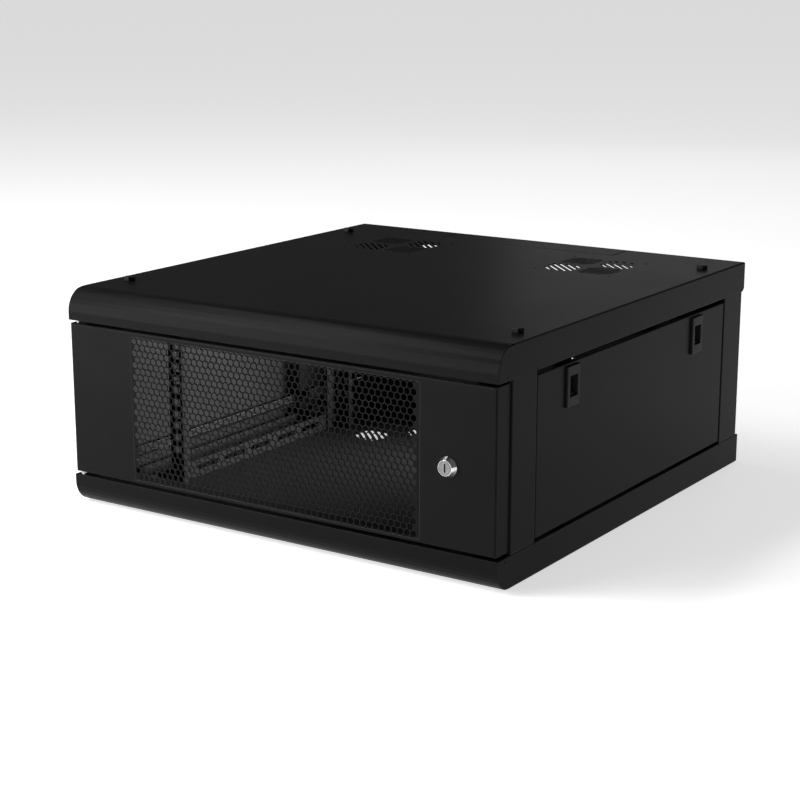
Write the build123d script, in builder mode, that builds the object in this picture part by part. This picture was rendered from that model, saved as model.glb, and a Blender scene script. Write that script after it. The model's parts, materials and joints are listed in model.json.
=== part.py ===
from build123d import *
import math
import os

os.makedirs("parts", exist_ok=True)

# ---------------------------------------------------------------------------
# A 4U wall-mount network cabinet of folded steel sheet.
# +X is to the right seen from the front, +Y to the rear, +Z up.  The origin is
# the middle of the base's underside.  Millimetres.
# ---------------------------------------------------------------------------

# Carcass
width = 600.0
depth = 622.0
height = 268.0
front = -depth / 2
rear = depth / 2
side = width / 2
sheet = 1.5
bend = 2.0

# Top cover and base pan
cover_drop = 38.0
base_rise = 37.5
nose_radius = 28.0
nose_facets = 8
lip = 13.5
front_lip = 22.5
cover_edge = height - cover_drop
cover_clip = 4.0
cheek_slit = 1.4
lip_end_slot = (1.6, 7.0)
knockout_half = 133.0
knockout_y = rear - 50.0
knockout_length = 40.0
knockout_line = 2.0
micro_tab = 4.0
micro_tab_x = 42.0

# Fan vents
fan_x = 148.0
fan_y = front + 485.0
fan_pitch = 105.0
fan_hole_radius = 2.25
lobe_offset = 26.5
vent_slot_pitch = 8.0
vent_slot_width = 4.1
vent_slot_lengths = (56.0, 41.0, 23.0)

# Corner posts
post_front = front + 28.0
post_width = 52.0
front_leg = 42.0
rear_leg = 38.0
rear_post_start = front + 562.0
post_rear = front + 615.4
panel_leg = 15.0
post_gap = 0.8

# Depth beams, rack rails
beam_inner = 246.0
beam_outer = 284.0
beam_height = 22.5
beam_sheet = 2.0
rail_face_front = front + 115.0
rail_face_rear = front + 483.0
rail_middle = (rail_face_front + rail_face_rear) / 2
rail_inner = 225.0
rail_return = 9.0
rail_flange = 34.0
rail_sheet = 2.0
rack_units = 4
rack_unit = 44.45
rack_half_pitch = 465.1 / 2
rack_hole = 9.5
rack_middle_z = 134.0
rail_bolt_offset = 17.0
rail_bolt_pitch = (rail_middle - rail_face_front - rail_bolt_offset) / 3
beam_slot_count = 7
beam_slot_length = 42.0
rail_bolt_z = 13.5

# Back frame
back_sheet = 1.5
back_half = 296.0
back_opening_half = 208.0
back_opening_low = 40.0
back_opening_high = 248.5
back_corner = 28.0
wall_pitch_x = 470.0
wall_pitch_z = 140.0
wall_hole_radius = 4.5
back_screw_x = 281.0
back_screw_rows = (70.0, 134.0, 198.0)
wall_middle_z = 134.0
buffer_x = 290.8
buffer_rows = (80.0, 188.0)
buffer_stem = 2.0

# Side panels and their latches
panel_face = 299.4
panel_sheet = 1.2
panel_gap = 1.2
panel_low = 41.2
panel_high = 224.8
panel_flange = 14.0
panel_hem = 9.0
latch_rows = (front + 158.0, front + 478.0)
latch_z = 198.0
locating_tab_rows = (front + 150.0, front + 490.0)
locating_tab_x = (286.5, 290.5)
locating_tab_width = 24.0
bezel_width = 28.0
bezel_height = 46.0
bezel_proud = 3.0
pocket_width = 17.7
pocket_height = 24.0
latch_wall = 1.4
latch_cutout = (26.2, 37.0)
guide_height = 36.0
guide_span = (11.4, 12.8)
slider_x = (289.4, 291.4)
slider_width = 22.4
tongue_width = 36.0
tongue_shift = -4.5
tongue_top = 229.7
tongue_slot_x = (287.4, 293.4)
tongue_slot_width = 43.0
tongue_slot_shift = -2.5

# Door
door_half = 298.0
door_low = 41.4
door_high = 226.2
door_depth = 27.4
door_sheet = 1.2
door_return = 12.0
door_middle_z = (door_low + door_high) / 2

# Perforated panel in the door's window
hex_pitch = 8.27
hex_row = hex_pitch * math.sqrt(3) / 2
hex_across = 6.9
hex_rows = 24
hex_columns = 48
hex_middle_x = -1.2
hex_middle_z = 132.95
window_half = 203.0
window_low = 45.7
window_high = 220.3
stiffener_x = 268.0
stiffener_width = 27.0
stiffener_crown = 15.0
stiffener_depth = 14.0

# Hinge
hinge_x = -290.5
hinge_y = front + 7.0
hinge_flange_relief = 1.5
pin_radius = 2.25
pin_clearance = 0.05
pin_top = 236.0
pin_bottom = 168.0
pin_ears = (176.0, 214.0)
collar_radius = 4.2
spring_wire = 0.4
spring_turns = 9
bush_radius = 3.5
bush_flange = 5.0

# Cam lock
lock_x = 238.7
lock_z = 132.6
lock_base_radius = 11.75
lock_ring_radius = 8.5
lock_proud = 6.5
barrel_radius = 9.0
barrel_end = 24.0
plug_radius = 7.75
plug_head_radius = 8.1
plug_head = 1.4
plug_clearance = 0.05
plug_tang = 7.0
ring_groove = (7.1, 7.4)
key_slot = (1.8, 9.6)
cam_start = 30.0
cam_thickness = 2.0
cam_width = 14.0
cam_reach = 36.0

# Fasteners
screw_radius = 2.5
screw_head_radius = 4.6
screw_head = 2.8
button_radius = 5.5
button_head = 3.5
bolt_x = 274.0
bolt_rows = (front + 82.0, front + 546.0)
m8_radius = 4.0
m8_flats = 13.0
m8_head = 5.0
m8_nut = 6.5
m6_radius = 3.0
m6_flats = 10.0
m6_nut = 5.0
earth_x = 150.0
earth_y = rear - 62.0

base_align = (Align.CENTER, Align.CENTER, Align.MIN)


def write(piece, name):
    """Label one finished piece and write its STEP file."""
    piece.label = name
    export_step(piece, f"parts/{name}.step")


def write_pair(right_piece, name):
    """Write a right-hand piece and its mirror image on the left."""
    write(right_piece, f"{name}_right")
    write(mirror(right_piece, about=Plane.YZ), f"{name}_left")


def block(x, y, z, mode=Mode.ADD):
    """A box between the given low and high coordinates on each axis."""
    size = [high - low for low, high in (x, y, z)]
    middle = [(high + low) / 2 for low, high in (x, y, z)]
    with Locations(tuple(middle)):
        Box(*size, mode=mode)


def span(centre, length):
    """Low and high coordinates of a length about its centre."""
    return (centre - length / 2, centre + length / 2)


def both_sides(low, high):
    """The x spans from low to high on the right and on the left."""
    return ((low, high), (-high, -low))


# ---------------------------------------------------------------------------
# Top cover and base pan
# ---------------------------------------------------------------------------

def pan_outline(open_z, flat_z, inset):
    """Side view of a pan: open edge, faceted bullnose, flat sheet, rear flange."""
    up = math.copysign(1.0, flat_z - open_z)
    radius = nose_radius - inset
    edge_z = open_z - up * inset
    points = [(front + inset, edge_z)]
    for facet in range(nose_facets + 1):
        angle = math.radians(90.0 * facet / nose_facets)
        y = front + nose_radius - radius * math.cos(angle)
        z = flat_z - up * (nose_radius - radius * math.sin(angle))
        points.append((y, z))
    points.append((rear - inset, flat_z - up * inset))
    points.append((rear - inset, edge_z))
    return points


def pan_block(open_z, flat_z, inset, mode=Mode.ADD):
    """The pan's side view carried across its width."""
    with BuildSketch(Plane.YZ) as profile:
        with BuildLine():
            Polyline(*pan_outline(open_z, flat_z, inset), close=True)
        make_face()
    extrude(profile.sketch, amount=side - inset, both=True, mode=mode)


def fan_vent(z_plane, fan_centre_x):
    """Cut one fan vent: four lobes of slots and four screw holes."""
    with BuildSketch(Plane.XY.offset(z_plane)) as slots:
        for right in (-1, 1):
            for back in (-1, 1):
                turn = -45.0 * right * back
                across = math.radians(turn + 90.0)
                for row, length in enumerate(vent_slot_lengths):
                    for way in (-1, 1):
                        shift = way * vent_slot_pitch * (row + 0.5)
                        x = fan_centre_x + right * lobe_offset + shift * math.cos(across)
                        y = fan_y + back * lobe_offset + shift * math.sin(across)
                        with Locations((x, y)):
                            SlotOverall(length, vent_slot_width, rotation=turn)
        with Locations((fan_centre_x, fan_y)):
            with GridLocations(fan_pitch, fan_pitch, 2, 2):
                Circle(fan_hole_radius)
    extrude(slots.sketch, amount=3 * sheet, both=True, mode=Mode.SUBTRACT)


def knockout(z_plane):
    """Cut the thin line round the cable-entry knock-out, leaving its micro-tabs."""
    side_line_y = knockout_y + knockout_length / 2
    outer_run = knockout_half - micro_tab_x - micro_tab / 2
    outer_middle = micro_tab_x + micro_tab / 2 + outer_run / 2
    with BuildSketch(Plane.XY.offset(z_plane)) as lines:
        with Locations((0, knockout_y)):
            Rectangle(2 * micro_tab_x - micro_tab, knockout_line)
        with Locations((outer_middle, knockout_y), (-outer_middle, knockout_y)):
            Rectangle(outer_run, knockout_line)
        with Locations((knockout_half, side_line_y), (-knockout_half, side_line_y)):
            Rectangle(knockout_line, knockout_length)
    extrude(lines.sketch, amount=3 * sheet, both=True, mode=Mode.SUBTRACT)


def folded_pan(open_z, flat_z, bolt_hole_radius):
    """A folded pan with return lips, vents, knock-out and bolt holes."""
    up = math.copysign(1.0, flat_z - open_z)
    lip_z = sorted((open_z, open_z + up * sheet))
    lip_y = (post_front + post_width, rear_post_start)
    slit_z = sorted((open_z + up * 2.0, open_z + up * 5.4))
    with BuildPart() as pan:
        pan_block(open_z, flat_z, 0.0)
        flat_edges = pan.edges().filter_by(lambda edge: abs(edge.center().Z - flat_z) < 0.01)
        long_edges = flat_edges.filter_by(Axis.Y)
        back_edge = flat_edges.filter_by(Axis.X).sort_by(Axis.Y)[-1:]
        fillet(long_edges + back_edge, bend)
        pan_block(open_z, flat_z, sheet, mode=Mode.SUBTRACT)
        block((-side + sheet, side - sheet), (front + sheet, front + sheet + front_lip), lip_z)
        for x_span in both_sides(side - sheet - lip, side - sheet):
            block(x_span, lip_y, lip_z)
        fan_vent(flat_z, fan_x)
        fan_vent(flat_z, -fan_x)
        knockout(flat_z)
        with BuildSketch(Plane.XY.offset(flat_z)):
            with Locations(*[(x, y) for x in (-bolt_x, bolt_x) for y in bolt_rows]):
                Circle(bolt_hole_radius)
        extrude(amount=3 * sheet, both=True, mode=Mode.SUBTRACT)
        for x_span in both_sides(side - 2 * sheet, side + sheet):
            # bend relief where the bullnose meets the flat, and tab slit in the cheek
            relief_z = span(flat_z, 3.6)
            block(x_span, (post_front - 2.2, post_front), relief_z, mode=Mode.SUBTRACT)
            block(x_span, span(front + 16.0, cheek_slit), slit_z, mode=Mode.SUBTRACT)
            for y in lip_y:
                slot_z = span(open_z, lip_end_slot[1])
                block(x_span, span(y, lip_end_slot[0]), slot_z, mode=Mode.SUBTRACT)
    return pan


with BuildPart() as top_cover:
    add(folded_pan(cover_edge, height, m8_radius + 0.2).part)
    # the rear flange is cut back above the cable opening
    flange_edge = back_opening_high - 2.0
    with BuildSketch(Plane.XZ.offset(-rear)):
        with Locations((0, cover_edge)):
            Rectangle(2 * back_opening_half + 10.0, 2 * (flange_edge - cover_edge))
    extrude(amount=3 * sheet, both=True, mode=Mode.SUBTRACT)
    cut_corners = top_cover.edges().filter_by(Axis.Y).filter_by(
        lambda edge: abs(edge.center().Z - flange_edge) < 0.1 and edge.length < 2 * sheet
    )
    fillet(cut_corners, 14.0)
    # the flanges' lower rear corners are clipped
    clip_reach = cover_clip + 1.0
    with BuildSketch(Plane.YZ) as clip:
        with BuildLine():
            Polyline(
                (rear + 1.0, cover_edge - 1.0),
                (rear + 1.0, cover_edge + clip_reach),
                (rear - clip_reach, cover_edge - 1.0),
                close=True,
            )
        make_face()
    extrude(clip.sketch, amount=side + 1.0, both=True, mode=Mode.SUBTRACT)
    for x_span in both_sides(*tongue_slot_x):
        for y in latch_rows:
            slot_y = span(y + tongue_slot_shift, tongue_slot_width)
            block(x_span, slot_y, span(cover_edge, 6.0), mode=Mode.SUBTRACT)
    with Locations((hinge_x, hinge_y, cover_edge)):
        Cylinder(pin_radius + 0.2, 8 * sheet, mode=Mode.SUBTRACT)
top_cover.part.label = "top_cover"
export_step(top_cover.part, "parts/top_cover.step")

with BuildPart() as base_pan:
    add(folded_pan(base_rise, 0.0, 5.5).part)
    with Locations((hinge_x, hinge_y, base_rise)):
        Cylinder(pin_radius, 8 * sheet, mode=Mode.SUBTRACT)
base_pan.part.label = "base_pan"
export_step(base_pan.part, "parts/base_pan.step")


# ---------------------------------------------------------------------------
# Corner posts, depth beams, back frame
# ---------------------------------------------------------------------------

def corner_post(y_start, y_end, front_leg_width, rear_leg_width):
    """A right-hand post of C section; its legs run on inside both pans."""
    low = sheet
    high = height - sheet
    with BuildPart() as post:
        block((side - sheet, side), (y_start, y_end), (low, high))
        block((side - front_leg_width, side), (y_start, y_start + sheet), (low, high))
        block((side - rear_leg_width, side), (y_end - sheet, y_end), (low, high))
        outer_corners = post.edges().filter_by(Axis.Z).filter_by(
            lambda edge: abs(edge.center().X - side) < 0.01
        )
        fillet(outer_corners, 1.2)
        skin = (side - sheet, side + sheet)
        whole = (y_start - sheet, y_end + sheet)
        block(skin, whole, (low - 1.0, base_rise + post_gap), mode=Mode.SUBTRACT)
        block(skin, whole, (cover_edge, high + 1.0), mode=Mode.SUBTRACT)
    return post


front_post = corner_post(post_front, post_front + post_width, front_leg, panel_leg)
write(mirror(front_post.part, about=Plane.YZ), "front_post_left")
with BuildPart() as front_post_right:
    add(front_post.part)
    with Locations(*[(buffer_x, post_front, z) for z in buffer_rows]):
        Cylinder(buffer_stem, 4 * sheet, rotation=(90, 0, 0), mode=Mode.SUBTRACT)
front_post_right.part.label = "front_post_right"
export_step(front_post_right.part, "parts/front_post_right.step")

with BuildPart() as rear_post:
    add(corner_post(rear_post_start, post_rear, panel_leg, rear_leg).part)
    with Locations(*[(back_screw_x, post_rear, z) for z in back_screw_rows]):
        Cylinder(screw_radius + 0.2, 4 * sheet, rotation=(90, 0, 0), mode=Mode.SUBTRACT)
write_pair(rear_post.part, "rear_post")

with BuildPart() as lower_beam:
    beam_y = (post_front + sheet, post_rear - sheet - back_sheet)
    beam_z = (sheet, sheet + beam_height)
    block((beam_inner, beam_outer), beam_y, (sheet, sheet + beam_sheet))
    block((beam_inner, beam_inner + beam_sheet), beam_y, beam_z)
    block((beam_outer - beam_sheet, beam_outer), beam_y, beam_z)
    slot_rows = [
        (rail_middle + step * rail_bolt_pitch, rail_bolt_z)
        for step in range(-(beam_slot_count // 2), beam_slot_count // 2 + 1)
    ]
    with BuildSketch(Plane.YZ.offset(beam_inner)):
        with Locations(*slot_rows):
            SlotOverall(beam_slot_length, 2 * m6_radius + 0.6)
    extrude(amount=2 * beam_sheet, both=True, mode=Mode.SUBTRACT)
    with Locations(*[(bolt_x, y, sheet) for y in bolt_rows]):
        Cylinder(m8_radius + 0.2, 4 * beam_sheet, mode=Mode.SUBTRACT)
write_pair(lower_beam.part, "lower_depth_beam")
write_pair(mirror(lower_beam.part, about=Plane.XY.offset(height / 2)), "upper_depth_beam")

with BuildPart() as back_frame:
    with BuildSketch(Plane.XZ.offset(-(post_rear - sheet))):
        with Locations((0, height / 2)):
            Rectangle(2 * back_half, height - 2 * sheet - 1.0)
        opening_middle = (back_opening_low + back_opening_high) / 2
        opening_height = back_opening_high - back_opening_low
        with Locations((0, opening_middle)):
            RectangleRounded(2 * back_opening_half, opening_height, back_corner, mode=Mode.SUBTRACT)
        with Locations((0, wall_middle_z)):
            with GridLocations(wall_pitch_x, wall_pitch_z, 2, 2):
                Circle(wall_hole_radius, mode=Mode.SUBTRACT)
        with Locations(*[(x, z) for x in (-back_screw_x, back_screw_x) for z in back_screw_rows]):
            Circle(screw_radius, mode=Mode.SUBTRACT)
    extrude(amount=back_sheet)
back_frame.part.label = "back_frame"
export_step(back_frame.part, "parts/back_frame.step")


# ---------------------------------------------------------------------------
# Rack rails
# ---------------------------------------------------------------------------

with BuildPart() as rack_rail:
    rail_z = (sheet + 1.0, height - sheet - 1.0)
    rail_outer = beam_inner
    face_y = (rail_face_front, rail_face_front + rail_sheet)
    block((rail_inner, rail_outer), face_y, rail_z)
    block((rail_inner, rail_inner + rail_sheet), (face_y[0], face_y[0] + rail_return), rail_z)
    flange_y = (face_y[0], face_y[0] + rail_flange)
    block((rail_outer - rail_sheet, rail_outer), flange_y, rail_z)
    bent_edges = rack_rail.edges().filter_by(Axis.Z).filter_by(
        lambda edge: abs(edge.center().Y - rail_face_front) < 0.01
    )
    fillet(bent_edges, 1.5)
    hole_rows = [
        rack_middle_z + rack_unit * (unit - rack_units / 2) + offset
        for unit in range(rack_units)
        for offset in (6.35, 22.225, 38.1)
    ]
    with BuildSketch(Plane.XZ.offset(-rail_face_front)):
        with Locations(*[(rack_half_pitch, z) for z in hole_rows]):
            Rectangle(rack_hole, rack_hole)
    extrude(amount=2 * rail_sheet, both=True, mode=Mode.SUBTRACT)
    rail_bolt_y = rail_face_front + rail_bolt_offset
    with Locations(*[(rail_outer, rail_bolt_y, z) for z in (rail_bolt_z, height - rail_bolt_z)]):
        Cylinder(m6_radius + 0.2, 4 * rail_sheet, rotation=(0, 90, 0), mode=Mode.SUBTRACT)
write_pair(rack_rail.part, "rack_rail_front")
write_pair(mirror(rack_rail.part, about=Plane.XZ.offset(-rail_middle)), "rack_rail_rear")


# ---------------------------------------------------------------------------
# Side panels and their latches
# ---------------------------------------------------------------------------

with BuildPart() as side_panel:
    panel_y = (post_front + post_width + panel_gap, rear_post_start - panel_gap)
    panel_z = (panel_low, panel_high)
    block((panel_face - panel_flange, panel_face), panel_y, panel_z)
    face_edges = side_panel.faces().sort_by(Axis.X)[-1].edges()
    fillet(face_edges, 1.6)
    inside_y = (panel_y[0] + panel_sheet, panel_y[1] - panel_sheet)
    inside_z = (panel_low + panel_sheet, panel_high - panel_sheet)
    inside_x = (panel_face - panel_flange - 1.0, panel_face - panel_sheet)
    block(inside_x, inside_y, inside_z, mode=Mode.SUBTRACT)
    hem_x = (panel_face - panel_flange, panel_face - panel_flange + panel_sheet)
    block(hem_x, inside_y, (panel_low, panel_low + panel_hem))
    for y in locating_tab_rows:
        block(locating_tab_x, span(y, locating_tab_width), (base_rise, panel_low))
    for y in latch_rows:
        slot_y = span(y + tongue_slot_shift, tongue_slot_width)
        block(tongue_slot_x, slot_y, span(panel_high, 6.0), mode=Mode.SUBTRACT)
        cutout_z = span(latch_z, latch_cutout[1])
        block((290.0, side + 1.0), span(y, latch_cutout[0]), cutout_z, mode=Mode.SUBTRACT)
write_pair(side_panel.part, "side_panel")


def latch_bezel(y):
    """Bezel with its finger window, and the guides that hold the slider."""
    with BuildPart() as bezel:
        proud_x = (panel_face, panel_face + bezel_proud)
        block(proud_x, span(y, bezel_width), span(latch_z, bezel_height))
        chamfer(bezel.faces().sort_by(Axis.X)[-1].edges(), 0.6)
        sleeve_x = (slider_x[1] + 0.2, panel_face)
        sleeve_y = span(y, pocket_width + 2 * latch_wall)
        block(sleeve_x, sleeve_y, span(latch_z, pocket_height + 2 * latch_wall))
        window_x = (sleeve_x[0] - 1.0, proud_x[1] + 1.0)
        window_y = span(y, pocket_width)
        block(window_x, window_y, span(latch_z, pocket_height), mode=Mode.SUBTRACT)
        hook_x = (slider_x[0] - 1.8, slider_x[0] - 0.2)
        for low, high in both_sides(*guide_span):
            guide_y = (y + low, y + high)
            block((hook_x[0], panel_face), guide_y, span(latch_z, guide_height))
        for low, high in both_sides(9.0, guide_span[1]):
            block(hook_x, (y + low, y + high), span(latch_z, guide_height))
    return bezel


def latch_slider(y):
    """Slider plate with its tongue on top and a sloped finger ledge."""
    pocket_floor = latch_z - pocket_height / 2 + 0.3
    with BuildPart() as slider:
        block(slider_x, span(y, slider_width), (latch_z - guide_height / 2, tongue_top - 8.0))
        tongue_y = span(y + tongue_shift, tongue_width)
        block(slider_x, tongue_y, (tongue_top - 10.0, tongue_top))
        with BuildSketch(Plane.XZ.offset(-y)) as ledge:
            with BuildLine():
                Polyline(
                    (slider_x[1], pocket_floor),
                    (panel_face - 0.4, pocket_floor),
                    (panel_face - 0.4, pocket_floor + 2.0),
                    (slider_x[1], pocket_floor + 8.0),
                    close=True,
                )
            make_face()
        extrude(ledge.sketch, amount=pocket_width / 2 - 0.3, both=True)
    return slider


for place, y in zip(("front", "rear"), latch_rows):
    write_pair(latch_bezel(y).part, f"latch_bezel_{place}")
    write_pair(latch_slider(y).part, f"latch_slider_{place}")


# ---------------------------------------------------------------------------
# Door
# ---------------------------------------------------------------------------

def hexagon(x, z):
    """Outline of one hexagonal hole, a corner on top."""
    radius = hex_across / math.sqrt(3)
    turns = [math.radians(60.0 * corner + 30.0) for corner in range(6)]
    corners = [(x + radius * math.cos(turn), z + radius * math.sin(turn)) for turn in turns]
    return Wire.make_polygon([Vector(*corner) for corner in corners], close=True)


def cut_hexagon(x, row_z, edge_z):
    """The three corners that a row just outside the panel cuts into its edge."""
    apex_z = row_z + math.copysign(hex_across / math.sqrt(3), edge_z - row_z)
    reach = abs(apex_z - edge_z) * math.sqrt(3)
    return [(x - reach, edge_z), (x, apex_z), (x + reach, edge_z)]


door_y = (front, front + door_depth)
door_inside_x = door_half - door_sheet
skin_back = front + door_sheet

with BuildPart() as door_shell:
    block((-door_half, door_half), door_y, (door_low, door_high))
    fillet(door_shell.faces().sort_by(Axis.Y)[0].edges(), bend)
    inside_z = (door_low + door_sheet, door_high - door_sheet)
    inside_x = (-door_inside_x, door_inside_x)
    block(inside_x, (skin_back, door_y[1] + 1.0), inside_z, mode=Mode.SUBTRACT)
    return_y = (door_y[1] - door_sheet, door_y[1])
    block((door_inside_x - door_return, door_inside_x), return_y, inside_z)
    relief_y = (door_y[1] - hinge_flange_relief, door_y[1] + 1.0)
    relief_x = (-door_half - 1.0, -door_inside_x + 14.0)
    relief_z = (door_low - 1.0, door_high + 1.0)
    block(relief_x, relief_y, relief_z, mode=Mode.SUBTRACT)
    window_z = (window_low, window_high)
    window_y = (front - 1.0, skin_back + 1.0)
    block((-window_half, window_half), window_y, window_z, mode=Mode.SUBTRACT)
    with Locations((lock_x, front, lock_z)):
        Cylinder(barrel_radius + 0.1, 4 * door_sheet, rotation=(90, 0, 0), mode=Mode.SUBTRACT)
    with Locations((hinge_x, hinge_y, door_low)):
        Cylinder(bush_radius, 4 * door_sheet, mode=Mode.SUBTRACT)
    with Locations((hinge_x, hinge_y, door_high)):
        Cylinder(pin_radius + 0.2, 4 * door_sheet, mode=Mode.SUBTRACT)
door_shell.part.label = "door_shell"
export_step(door_shell.part, "parts/door_shell.step")

with BuildPart() as door_grille:
    row_z = [hex_middle_z + hex_row * ((hex_rows - 1) / 2 - row) for row in range(-1, hex_rows + 1)]
    column_x = [hex_middle_x + hex_pitch * (column - (hex_columns - 1) / 2)
                for column in range(hex_columns)]
    stagger = [hex_pitch / 4 * (1 if row % 2 == 0 else -1) for row in range(len(row_z))]
    holes = [hexagon(x + shift, z) for z, shift in zip(row_z[1:-1], stagger[1:-1]) for x in column_x]
    # whole rows of holes, and the tips of one more row along the top and bottom edges
    outline = [(-window_half, window_low)]
    for x in column_x:
        outline += cut_hexagon(x + stagger[-1], row_z[-1], window_low)
    outline += [(window_half, window_low), (window_half, window_high)]
    for x in reversed(column_x):
        outline += reversed(cut_hexagon(x + stagger[0], row_z[0], window_high))
    outline.append((-window_half, window_high))
    border = Wire.make_polygon([Vector(*point) for point in outline], close=True)
    with BuildSketch(Plane.XZ.offset(-front)):
        add(Face(border, holes))
    extrude(amount=-door_sheet)
door_grille.part.label = "door_grille"
export_step(door_grille.part, "parts/door_grille.step")

with BuildPart() as stiffener:
    crown_y = skin_back + stiffener_depth
    stiffener_z = (door_low + door_sheet, door_high - door_sheet)
    crown_x = span(stiffener_x, stiffener_crown)
    foot_x = span(stiffener_x, stiffener_width)
    block(foot_x, (skin_back, skin_back + door_sheet), stiffener_z)
    block(crown_x, (skin_back, crown_y), stiffener_z)
    hollow_x = (crown_x[0] + door_sheet, crown_x[1] - door_sheet)
    block(hollow_x, (skin_back, crown_y - door_sheet), stiffener_z, mode=Mode.SUBTRACT)
write(stiffener.part, "door_stiffener_right")
shift_left = Location((-2 * stiffener_x + 18.0, 0, 0))
write(stiffener.part.moved(shift_left), "door_stiffener_left")


# ---------------------------------------------------------------------------
# Hinge
# ---------------------------------------------------------------------------

def turned(name, x, y, profile):
    """A piece turned about an upright axis, from its (radius, height) outline."""
    with BuildPart() as piece:
        with BuildSketch(Plane(origin=(x, y, 0), x_dir=(1, 0, 0), z_dir=(0, -1, 0))) as half:
            with BuildLine():
                Polyline(*profile, close=True)
            make_face()
        revolve(half.sketch, axis=Axis((x, y, 0), (0, 0, 1)))
    write(piece.part, name)


lower_collar = (base_rise, base_rise + 2.0)
turned("hinge_pin_lower", hinge_x, hinge_y, [
    (0.0, base_rise - 5.0),
    (pin_radius, base_rise - 5.0),
    (pin_radius, lower_collar[0]),
    (4.5, lower_collar[0]),
    (4.5, lower_collar[1]),
    (pin_radius, lower_collar[1]),
    (pin_radius, door_low + 8.0),
    (pin_radius - 0.8, door_low + 9.0),
    (0.0, door_low + 9.0),
])
turned("hinge_bush", hinge_x, hinge_y, [
    (pin_radius + pin_clearance, lower_collar[1]),
    (bush_flange, lower_collar[1]),
    (bush_flange, door_low),
    (bush_radius, door_low),
    (bush_radius, door_low + 4.0),
    (pin_radius + pin_clearance, door_low + 4.0),
])

with BuildPart() as hinge_bracket:
    web_x = (hinge_x + 6.0, hinge_x + 6.0 + sheet)
    ear_x = (-door_inside_x, web_x[1])
    ear_y = (skin_back, hinge_y + 7.0)
    block(web_x, ear_y, (pin_ears[0], pin_ears[1] + sheet))
    for z in pin_ears:
        block(ear_x, ear_y, (z, z + sheet))
    with Locations((hinge_x, hinge_y, (pin_ears[0] + pin_ears[1]) / 2)):
        Cylinder(pin_radius + 0.1, 60.0, mode=Mode.SUBTRACT)
write(hinge_bracket.part, "hinge_bracket")

with BuildPart() as hinge_pin_upper:
    with Locations((hinge_x, hinge_y, pin_bottom)):
        Cylinder(pin_radius, pin_top - pin_bottom, align=base_align)
    chamfer(hinge_pin_upper.faces().sort_by(Axis.Z)[-1].edges(), 0.8)
    collar_z = pin_ears[1] - 2.2
    with Locations((hinge_x, hinge_y, collar_z)):
        Cylinder(collar_radius, 2.0, align=base_align)
    with Locations((hinge_x, hinge_y, pin_bottom + 2.0)):
        Cylinder(1.7, 20.0, rotation=(0, 90, 0), align=base_align)
write(hinge_pin_upper.part, "hinge_pin_upper")

with BuildPart() as hinge_spring:
    spring_low = pin_ears[0] + sheet + spring_wire
    spring_run = collar_z - spring_wire - spring_low
    with BuildLine(Plane((hinge_x, hinge_y, spring_low))):
        coil = Helix(spring_run / spring_turns, spring_run, collar_radius - 2 * spring_wire)
    with BuildSketch(Plane(coil @ 0, z_dir=coil % 0)):
        Circle(spring_wire)
    sweep(path=coil, is_frenet=True)
write(hinge_spring.part, "hinge_spring")


# ---------------------------------------------------------------------------
# Cam lock
# ---------------------------------------------------------------------------

def lock_turned(profile, mode=Mode.ADD):
    """A solid turned about the lock's axis, from its (radius, distance behind the face) outline."""
    with BuildSketch(Plane((lock_x, front, lock_z), x_dir=(1, 0, 0), z_dir=(0, 0, 1))) as half:
        with BuildLine():
            Polyline(*profile, close=True)
        make_face()
    revolve(half.sketch, axis=Axis((lock_x, front, lock_z), (0, 1, 0)), mode=mode)


def lock_plane(distance):
    """The plane across the lock, a distance behind the door's face."""
    return Plane((lock_x, front + distance, lock_z), x_dir=(1, 0, 0), z_dir=(0, -1, 0))


lock_bore = plug_radius + plug_clearance
head_bore = plug_head_radius + plug_clearance
ring_front = -lock_proud
head_seat = ring_front + plug_head

with BuildPart() as lock_housing:
    lock_turned([
        (lock_bore, barrel_end),
        (barrel_radius, barrel_end),
        (barrel_radius, 0.0),
        (lock_base_radius, 0.0),
        (lock_base_radius, -0.8),
        (lock_ring_radius + 0.15, ring_front + 0.15),
        (lock_ring_radius, ring_front),
        (head_bore, ring_front),
        (head_bore, head_seat),
        (lock_bore, head_seat),
    ])
write(lock_housing.part, "lock_housing")

with BuildPart() as lock_plug:
    face = ring_front + 0.1
    groove_floor = face + 0.4
    head_back = head_seat - plug_clearance
    lock_turned([
        (0.0, face),
        (ring_groove[0], face),
        (ring_groove[0], groove_floor),
        (ring_groove[1], groove_floor),
        (ring_groove[1], face),
        (plug_head_radius - 0.2, face),
        (plug_head_radius, face + 0.2),
        (plug_head_radius, head_back),
        (plug_radius, head_back),
        (plug_radius, barrel_end),
        (6.0, barrel_end),
        (6.0, cam_start),
        (0.0, cam_start),
    ])
    with BuildSketch(lock_plane(cam_start)):
        Rectangle(plug_tang, plug_tang)
    extrude(amount=-cam_thickness)
    with BuildSketch(lock_plane(face)):
        Rectangle(*key_slot)
    extrude(amount=-16.0, mode=Mode.SUBTRACT)
    with BuildSketch(lock_plane(cam_start + cam_thickness)):
        Circle(screw_radius)
    extrude(amount=10.0, mode=Mode.SUBTRACT)
write(lock_plug.part, "lock_plug")

with BuildPart() as lock_cam:
    with BuildSketch(lock_plane(cam_start)):
        with Locations((0, (cam_width / 2 - cam_reach) / 2)):
            SlotOverall(cam_reach + cam_width / 2, cam_width, rotation=90)
        Rectangle(plug_tang, plug_tang, mode=Mode.SUBTRACT)
    extrude(amount=-cam_thickness)
write(lock_cam.part, "lock_cam")

with BuildPart() as lock_nut:
    with BuildSketch(lock_plane(door_sheet)):
        RegularPolygon(11.0, 6, major_radius=False)
        Circle(barrel_radius, mode=Mode.SUBTRACT)
    extrude(amount=-4.0)
write(lock_nut.part, "lock_nut")

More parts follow.
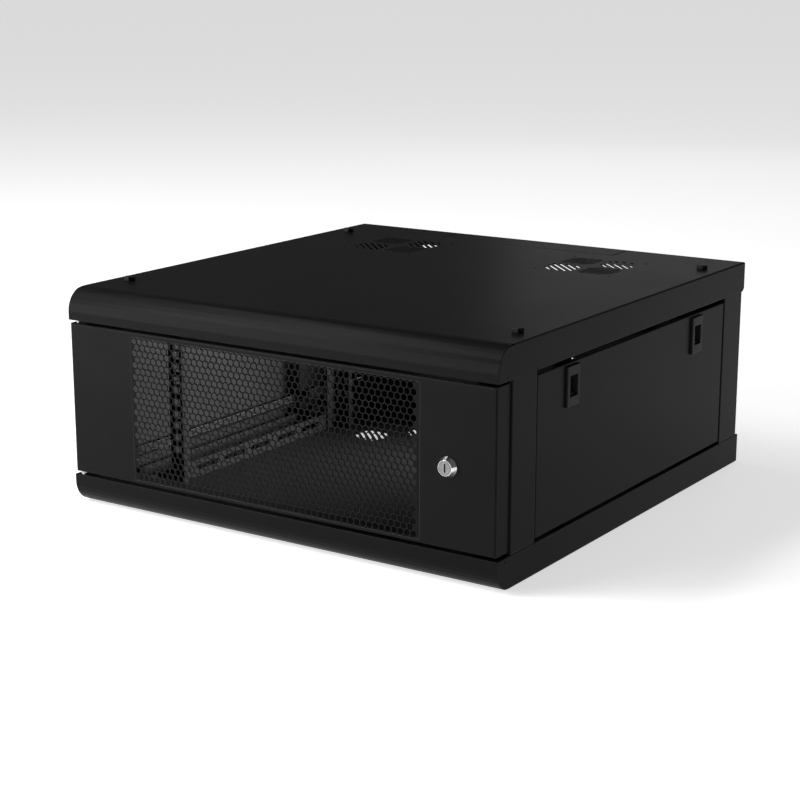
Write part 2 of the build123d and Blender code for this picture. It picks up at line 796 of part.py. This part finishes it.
with BuildPart() as cam_screw:
    screw_seat = cam_start + cam_thickness
    lock_turned([
        (0.0, screw_seat - 9.0),
        (screw_radius, screw_seat - 9.0),
        (screw_radius, screw_seat),
        (5.0, screw_seat),
        (5.0, screw_seat + 1.6),
        (3.6, screw_seat + 2.6),
        (0.0, screw_seat + 2.6),
    ])
write(cam_screw.part, "cam_screw")


# ---------------------------------------------------------------------------
# Fasteners and small fittings
# ---------------------------------------------------------------------------

corners = [(x, y) for x in (-bolt_x, bolt_x) for y in bolt_rows]
web_under = height - sheet - beam_sheet
web_over = sheet + beam_sheet

with BuildPart() as top_bolts:
    with BuildSketch(Plane.XY.offset(height)):
        with Locations(*corners):
            RegularPolygon(m8_flats / 2, 6, major_radius=False)
    extrude(amount=m8_head)
    chamfer(top_bolts.faces().group_by(Axis.Z)[-1].edges(), 0.5)
    with BuildSketch(Plane.XY.offset(height)):
        with Locations(*corners):
            Circle(m8_radius)
    extrude(amount=-20.0)
write(top_bolts.part, "top_bolts")


def hex_nuts(name, z, thickness, places, flats, bore):
    """Upright hexagon nuts standing on a height."""
    with BuildPart() as nuts:
        with BuildSketch(Plane.XY.offset(z)) as outline_of_nuts:
            with Locations(*places):
                RegularPolygon(flats / 2, 6, major_radius=False)
                Circle(bore, mode=Mode.SUBTRACT)
        extrude(outline_of_nuts.sketch, amount=thickness)
    write(nuts.part, name)


hex_nuts("top_nuts", web_under - m8_nut, m8_nut, corners, m8_flats, m8_radius)
hex_nuts("base_nuts", web_over, m8_nut, corners, m8_flats, m8_radius)

with BuildPart() as base_studs:
    with Locations(*[(x, y, 0) for x, y in corners]):
        Cylinder(5.5, sheet, align=base_align)
        Cylinder(m8_radius, 18.0, align=base_align)
write(base_studs.part, "base_studs")

rail_bolt_places = [
    (way * rail_outer, middle_y, z)
    for way in (-1, 1)
    for middle_y in (rail_bolt_y, 2 * rail_middle - rail_bolt_y)
    for z in (rail_bolt_z, height - rail_bolt_z)
]

with BuildPart() as rail_bolts:
    for x, y, z in rail_bolt_places:
        outward = math.copysign(1.0, x)
        head_x = x - outward * (rail_sheet + button_head / 2)
        shank_x = x + outward * (5.5 - rail_sheet / 2)
        with Locations((head_x, y, z)):
            Cylinder(button_radius, button_head, rotation=(0, 90, 0))
        with Locations((shank_x, y, z)):
            Cylinder(m6_radius, 11.0 + rail_sheet, rotation=(0, 90, 0))
write(rail_bolts.part, "rail_bolts")

with BuildPart() as rail_nuts:
    for x, y, z in rail_bolt_places:
        outward = math.copysign(1.0, x)
        nut_plane = Plane((x + outward * beam_sheet, y, z), x_dir=(0, 1, 0), z_dir=(outward, 0, 0))
        with BuildSketch(nut_plane):
            RegularPolygon(m6_flats / 2, 6, major_radius=False)
            Circle(m6_radius, mode=Mode.SUBTRACT)
        extrude(amount=m6_nut)
write(rail_nuts.part, "rail_nuts")

with BuildPart() as back_frame_screws:
    for x in (-back_screw_x, back_screw_x):
        for z in back_screw_rows:
            with Locations((x, post_rear + screw_head / 2, z)):
                Cylinder(screw_head_radius, screw_head, rotation=(90, 0, 0))
            with Locations((x, post_rear - 4.0, z)):
                Cylinder(screw_radius, 8.0, rotation=(90, 0, 0))
write(back_frame_screws.part, "back_frame_screws")

with BuildPart() as door_buffers:
    buffer_pad = post_front - door_y[1]
    for z in buffer_rows:
        with Locations((buffer_x, post_front - buffer_pad / 2, z)):
            Cylinder(4.5, buffer_pad, rotation=(90, 0, 0))
        with Locations((buffer_x, post_front + sheet / 2, z)):
            Cylinder(buffer_stem, sheet, rotation=(90, 0, 0))
        with Locations((buffer_x, post_front + sheet + 0.8, z)):
            Cylinder(3.2, 1.6, rotation=(90, 0, 0))
write(door_buffers.part, "door_buffers")

with BuildPart() as earth_stud:
    with Locations((earth_x, earth_y, sheet)):
        Cylinder(6.0, 1.0, align=base_align)
        Cylinder(m6_radius, 20.0, align=base_align)
write(earth_stud.part, "earth_stud")
hex_nuts("earth_nut", sheet + 1.0, m6_nut, [(earth_x, earth_y)], m6_flats, m6_radius)
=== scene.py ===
import json
import math

import bpy
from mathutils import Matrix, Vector


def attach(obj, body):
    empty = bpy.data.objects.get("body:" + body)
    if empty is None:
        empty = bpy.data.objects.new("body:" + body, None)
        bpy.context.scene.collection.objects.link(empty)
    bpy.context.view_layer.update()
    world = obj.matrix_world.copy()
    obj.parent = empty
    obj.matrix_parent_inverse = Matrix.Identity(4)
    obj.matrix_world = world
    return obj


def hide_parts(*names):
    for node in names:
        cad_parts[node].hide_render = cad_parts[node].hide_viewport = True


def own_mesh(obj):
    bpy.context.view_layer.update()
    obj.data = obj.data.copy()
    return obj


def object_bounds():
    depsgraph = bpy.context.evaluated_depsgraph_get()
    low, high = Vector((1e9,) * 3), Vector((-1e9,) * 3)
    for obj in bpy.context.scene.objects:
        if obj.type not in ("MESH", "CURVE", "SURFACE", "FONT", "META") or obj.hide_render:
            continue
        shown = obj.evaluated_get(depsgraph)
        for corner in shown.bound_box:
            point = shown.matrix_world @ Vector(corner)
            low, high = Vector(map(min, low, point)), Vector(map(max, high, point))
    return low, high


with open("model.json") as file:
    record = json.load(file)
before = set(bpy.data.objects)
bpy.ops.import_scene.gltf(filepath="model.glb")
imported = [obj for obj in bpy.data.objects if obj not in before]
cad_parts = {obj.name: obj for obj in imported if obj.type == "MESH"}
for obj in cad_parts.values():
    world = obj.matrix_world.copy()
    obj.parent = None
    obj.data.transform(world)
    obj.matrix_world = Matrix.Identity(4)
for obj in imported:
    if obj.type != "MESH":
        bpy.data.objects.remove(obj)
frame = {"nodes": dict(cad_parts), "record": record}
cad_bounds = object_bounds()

nodes = frame["nodes"]
cad_low, cad_high = (Vector(corner) for corner in cad_bounds)

EDGE_RADIUS = 0.0012  # metres, how far folded and moulded edges look rounded
BEVEL_SAMPLES = 6
FULL_HIGHLIGHT_LEAN = 0.7  # cosine of the lean at which a softened edge gets the full painted highlight
MIDDLE_BAND = (0.3, 0.7)  # where a noise texture's values mostly lie


# ---------------------------------------------------------------------------
# Material helpers: every finish is a small procedural node tree
# ---------------------------------------------------------------------------

class Finish:
    """A principled material with helpers that add procedural nodes to it."""

    def __init__(self, name):
        self.material = bpy.data.materials.new(name)
        self.material.use_nodes = True
        self.tree = self.material.node_tree
        self.shader = self.tree.nodes["Principled BSDF"]
        self.place = self.tree.nodes.new("ShaderNodeTexCoord").outputs["Object"]
        self.rounded = None

    def set(self, **values):
        for name, value in values.items():
            self.shader.inputs[name.replace("_", " ")].default_value = value

    def link(self, source, target):
        self.tree.links.new(source, target)

    def stretched(self, scale):
        """Object coordinates multiplied along each axis."""
        mapping = self.tree.nodes.new("ShaderNodeMapping")
        mapping.inputs["Scale"].default_value = scale
        self.link(self.place, mapping.inputs["Vector"])
        return mapping.outputs["Vector"]

    def noise(self, scale, detail=4.0, roughness=0.55, place=None):
        node = self.tree.nodes.new("ShaderNodeTexNoise")
        node.inputs["Scale"].default_value = scale
        node.inputs["Detail"].default_value = detail
        node.inputs["Roughness"].default_value = roughness
        self.link(place or self.place, node.inputs["Vector"])
        return node.outputs["Fac"]

    def cells(self, scale, place=None):
        node = self.tree.nodes.new("ShaderNodeTexVoronoi")
        node.inputs["Scale"].default_value = scale
        self.link(place or self.place, node.inputs["Vector"])
        return node.outputs["Distance"]

    def remap(self, value, low, high, to_low, to_high):
        """Move a value from one range to another, and no further."""
        node = self.tree.nodes.new("ShaderNodeMapRange")
        node.inputs["From Min"].default_value = low
        node.inputs["From Max"].default_value = high
        node.inputs["To Min"].default_value = to_low
        node.inputs["To Max"].default_value = to_high
        self.link(value, node.inputs["Value"])
        return node.outputs["Result"]

    def spread(self, noise, to_low, to_high):
        """Stretch a noise's middle band over a range."""
        return self.remap(noise, *MIDDLE_BAND, to_low, to_high)

    def combine(self, operation, first, second):
        """A math node on sockets or plain numbers."""
        node = self.tree.nodes.new("ShaderNodeMath")
        node.operation = operation
        for socket, value in zip(node.inputs, (first, second)):
            if isinstance(value, (int, float)):
                socket.default_value = value
            else:
                self.link(value, socket)
        return node.outputs["Value"]

    def mix(self, factor, first, second):
        """The first colour at factor 0, the second at 1."""
        node = self.tree.nodes.new("ShaderNodeMix")
        node.data_type = "RGBA"
        self.link(factor, node.inputs["Factor"])
        node.inputs["A"].default_value = (*first, 1.0)
        node.inputs["B"].default_value = (*second, 1.0)
        return node.outputs["Result"]

    def round_edges(self):
        """Soften every sharp edge in the shading by a small radius."""
        bevel = self.tree.nodes.new("ShaderNodeBevel")
        bevel.samples = BEVEL_SAMPLES
        bevel.inputs["Radius"].default_value = EDGE_RADIUS
        self.rounded = bevel.outputs["Normal"]

    def painted_edge_highlight(self):
        """0 on flats, rising towards 1 on the softened edges: the mask where the edge highlight is
        painted.
        """
        geometry = self.tree.nodes.new("ShaderNodeNewGeometry")
        dot = self.tree.nodes.new("ShaderNodeVectorMath")
        dot.operation = "DOT_PRODUCT"
        self.link(self.rounded, dot.inputs[0])
        self.link(geometry.outputs["Normal"], dot.inputs[1])
        return self.remap(dot.outputs["Value"], 1.0, FULL_HIGHLIGHT_LEAN, 0.0, 1.0)

    def edge_highlight_specular(self, highlight_mask, flat, edge):
        """Specular level of the flats, and a higher one on the softened edges, as a painted
        highlight.
        """
        self.link(self.remap(highlight_mask, 0.0, 1.0, flat, edge), self.shader.inputs["Specular IOR Level"])

    def bump(self, height, distance, strength=1.0):
        node = self.tree.nodes.new("ShaderNodeBump")
        node.inputs["Distance"].default_value = distance
        node.inputs["Strength"].default_value = strength
        self.link(height, node.inputs["Height"])
        if self.rounded:
            self.link(self.rounded, node.inputs["Normal"])
        self.link(node.outputs["Normal"], self.shader.inputs["Normal"])

    def colour(self, socket):
        self.link(socket, self.shader.inputs["Base Color"])

    def roughness(self, socket):
        self.link(socket, self.shader.inputs["Roughness"])


def powder_coat(name, highlight_colour):
    """Satin black powder coat: fine orange peel, faint patches, and edges painted lighter as a
    highlight.
    """
    finish = Finish(name)
    grain = finish.noise(900.0, detail=3.0)
    peel = finish.noise(260.0, detail=2.0)
    patches = finish.noise(7.0, detail=5.0)
    finish.round_edges()
    highlight_mask = finish.painted_edge_highlight()
    # random tone from the patches, plus the softened edges painted lighter: a painted highlight
    tone_and_highlight = finish.combine("ADD", finish.spread(patches, 0.0, 0.05), highlight_mask)
    finish.colour(finish.mix(tone_and_highlight, (0.0065, 0.0065, 0.0067), highlight_colour))
    finish.roughness(finish.combine("ADD", finish.spread(patches, 0.29, 0.32),
                                    finish.spread(grain, -0.02, 0.04)))
    # the softened edges also get a higher specular level, as a painted highlight
    finish.edge_highlight_specular(highlight_mask, 0.035, 0.1)
    height = finish.combine("ADD", finish.combine("MULTIPLY", grain, 0.35), peel)
    finish.bump(height, 0.00006, 0.6)
    return finish.material


def chrome():
    """Bright chrome with faint hairlines and smudges."""
    finish = Finish("chrome")
    smudge = finish.noise(160.0, detail=6.0)
    finish.set(Metallic=1.0, Base_Color=(0.80, 0.80, 0.82, 1.0))
    finish.roughness(finish.remap(smudge, 0.3, 0.75, 0.07, 0.2))
    finish.bump(finish.noise(1500.0), 0.000006, 0.3)
    return finish.material


def metal(name, colour, rough, scale):
    """Plated steel with fine drawn lines along one axis."""
    finish = Finish(name)
    lines = finish.noise(1.0, detail=3.0, place=finish.stretched(scale))
    spots = finish.noise(300.0, detail=5.0)
    darker = tuple(0.72 * channel for channel in colour)
    finish.colour(finish.mix(finish.spread(spots, 0.0, 1.0), darker, colour))
    finish.set(Metallic=1.0)
    finish.roughness(finish.spread(lines, rough - 0.08, rough + 0.12))
    finish.bump(lines, 0.00001, 0.5)
    return finish.material


def plastic(name, colour, rough, grain_scale, gloss=0.4):
    """Moulded plastic or rubber with a fine spark-eroded grain."""
    finish = Finish(name)
    grain = finish.cells(grain_scale)
    cloud = finish.noise(60.0, detail=4.0)
    lighter = tuple(1.5 * channel for channel in colour)
    finish.colour(finish.mix(cloud, colour, lighter))
    finish.roughness(finish.spread(cloud, rough - 0.05, rough + 0.07))
    finish.round_edges()
    # the softened edges get twice the specular level: a painted highlight
    finish.edge_highlight_specular(finish.painted_edge_highlight(), gloss, 2.0 * gloss)
    finish.bump(grain, 0.00002, 0.4)
    return finish.material


FINISHES = {
    # the first coat has its edges painted much lighter as a highlight, the second only a little
    # lighter
    "powder_coat": powder_coat("powder_coat", (0.055, 0.055, 0.0555)),
    "dim_edge_coat": powder_coat("dim_edge_coat", (0.008, 0.008, 0.0082)),
    "chrome": chrome(),
    "satin_nickel": metal("satin_nickel", (0.21, 0.21, 0.21), 0.36, (900.0, 40.0, 900.0)),
    "zinc_plate": metal("zinc_plate", (0.52, 0.53, 0.55), 0.38, (400.0, 400.0, 400.0)),
    "spring_steel": metal("spring_steel", (0.32, 0.32, 0.33), 0.30, (600.0, 600.0, 80.0)),
    "black_bolt": plastic("black_bolt", (0.008, 0.008, 0.0085), 0.42, 1600.0, gloss=0.12),
    "latch_plastic": plastic("latch_plastic", (0.012, 0.012, 0.0125), 0.42, 2200.0, gloss=0.08),
    "nylon": plastic("nylon", (0.55, 0.54, 0.50), 0.45, 1500.0),
    "rubber": plastic("rubber", (0.010, 0.010, 0.010), 0.75, 1200.0),
}


# nodes, by the start of their names, whose coat has its edge highlight painted only faintly
DIM_EDGE_NODES = ("door_grille", "top_cover", "base_pan", "rack_rail", "lower_depth_beam",
                "upper_depth_beam")


def dress_cad_nodes():
    """Give every CAD node the finish of its material slot; the listed nodes get instead the coat
    whose edge highlight is painted only faintly.
    """
    for entry in frame["record"]["subparts"]:
        mesh = nodes[entry["node"]].data
        mesh.materials.clear()
        slot = "dim_edge_coat" if entry["node"].startswith(DIM_EDGE_NODES) else entry["material_slot"]
        mesh.materials.append(FINISHES[slot])


def live_spring():
    """The coil round the upper hinge pin, copied into a mesh of its own and carried by the door; it
    is not shortened here as the pin is pulled down.
    """
    coil = nodes["hinge_spring"]
    spring = bpy.data.objects.new("hinge_spring_coil", coil.data.copy())
    bpy.context.scene.collection.objects.link(spring)
    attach(spring, "door")
    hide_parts("hinge_spring")
    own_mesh(spring)


# ---------------------------------------------------------------------------
# Studio
# ---------------------------------------------------------------------------

FLOOR_HALF = 40.0
FLOOR_CLEARANCE = 0.0002
FLOOR_GLOW = 0.62
BACKDROP_LIGHT, BACKDROP_SEEN = 0.09, 0.74  # strength as a light, and as the camera sees it
WIDEST_BEAM = 180.0


def floor():
    """A pale, evenly lit floor, just under the base."""
    half, level = FLOOR_HALF, cad_low.z - FLOOR_CLEARANCE
    mesh = bpy.data.meshes.new("studio_floor")
    corners = [(-half, -half, level), (half, -half, level), (half, half, level), (-half, half, level)]
    mesh.from_pydata(corners, [], [(0, 1, 2, 3)])
    ground = bpy.data.objects.new("studio_floor", mesh)
    bpy.context.scene.collection.objects.link(ground)
    finish = Finish("studio_floor")
    finish.set(Base_Color=(0.92, 0.92, 0.92, 1.0), Roughness=0.9, Specular_IOR_Level=0.1,
               Emission_Color=(1.0, 1.0, 1.0, 1.0), Emission_Strength=FLOOR_GLOW)
    mesh.materials.append(finish.material)


def softbox(name, place, target, size, power, beam=WIDEST_BEAM):
    """A rectangular area light aimed at a point, its beam no wider than so many degrees."""
    light = bpy.data.lights.new(name, "AREA")
    light.spread = math.radians(beam)
    light.shape = "RECTANGLE"
    light.size, light.size_y = size
    light.energy = power
    lamp = bpy.data.objects.new(name, light)
    bpy.context.scene.collection.objects.link(lamp)
    lamp.location = place
    lamp.rotation_euler = (Vector(target) - Vector(place)).to_track_quat("-Z", "Y").to_euler()
    return lamp


def surroundings():
    """A backdrop that looks pale but adds only a little light."""
    world = bpy.data.worlds.new("studio_world")
    world.use_nodes = True
    tree = world.node_tree
    background = tree.nodes["Background"]
    background.inputs["Color"].default_value = (1.0, 1.0, 1.0, 1.0)
    path = tree.nodes.new("ShaderNodeLightPath")
    strength = tree.nodes.new("ShaderNodeMapRange")
    strength.inputs["To Min"].default_value = BACKDROP_LIGHT
    strength.inputs["To Max"].default_value = BACKDROP_SEEN
    tree.links.new(path.outputs["Is Camera Ray"], strength.inputs["Value"])
    tree.links.new(strength.outputs["Result"], background.inputs["Strength"])
    bpy.context.scene.world = world
    bpy.context.scene.view_settings.view_transform = "Standard"


def studio():
    """Soft boxes: long strips from low to high at the front left, and shorter boxes behind."""
    surroundings()
    middle = (cad_low + cad_high) / 2
    strip = (2.4, 0.3)
    softbox("low_strip", (-2.2, -3.1, 0.35), middle, (2.4, 0.4), 50.0)
    softbox("middle_strip", (-2.2, -2.9, 1.15), middle, strip, 38.0)
    softbox("high_strip", (-1.9, -1.6, 2.8), middle, strip, 34.0)
    softbox("top_strip", (-1.9, -0.5, 3.2), middle, strip, 28.0)
    softbox("rear_box", (-1.2, 3.7, 1.1), middle, (1.5, 0.9), 1.4)
    # a pool of light on the floor, at the front left
    softbox("floor_pool", (-1.0, -1.2, 1.1), (-0.62, -0.8, 0.0), (0.5, 0.5), 11.0)
    # stands in the back opening and fills the inside, without a glare on the base pan
    back_box = softbox("back_box", (0.15, 0.335, 0.13), (-0.29, -0.26, 0.15), (0.12, 0.14), 8.5,
                       beam=70.0)
    back_box.visible_glossy = False
    softbox("back_high", (-0.1, 2.6, 2.2), middle, (0.8, 0.6), 5.0)
    floor()


def camera():
    """The camera, to the front right and a little above."""
    azimuth = math.radians(33.695)
    elevation = math.radians(14.117)
    data = bpy.data.cameras.new("product_camera")
    data.lens = 82.57
    data.sensor_width = 36.0
    data.clip_end = 60.0
    view = bpy.data.objects.new("product_camera", data)
    bpy.context.scene.collection.objects.link(view)
    view.location = (1.2294, -1.8878, 0.6737)
    view.rotation_euler = (math.pi / 2 - elevation, 0.0, azimuth)
    bpy.context.scene.camera = view


dress_cad_nodes()
live_spring()
studio()
camera()
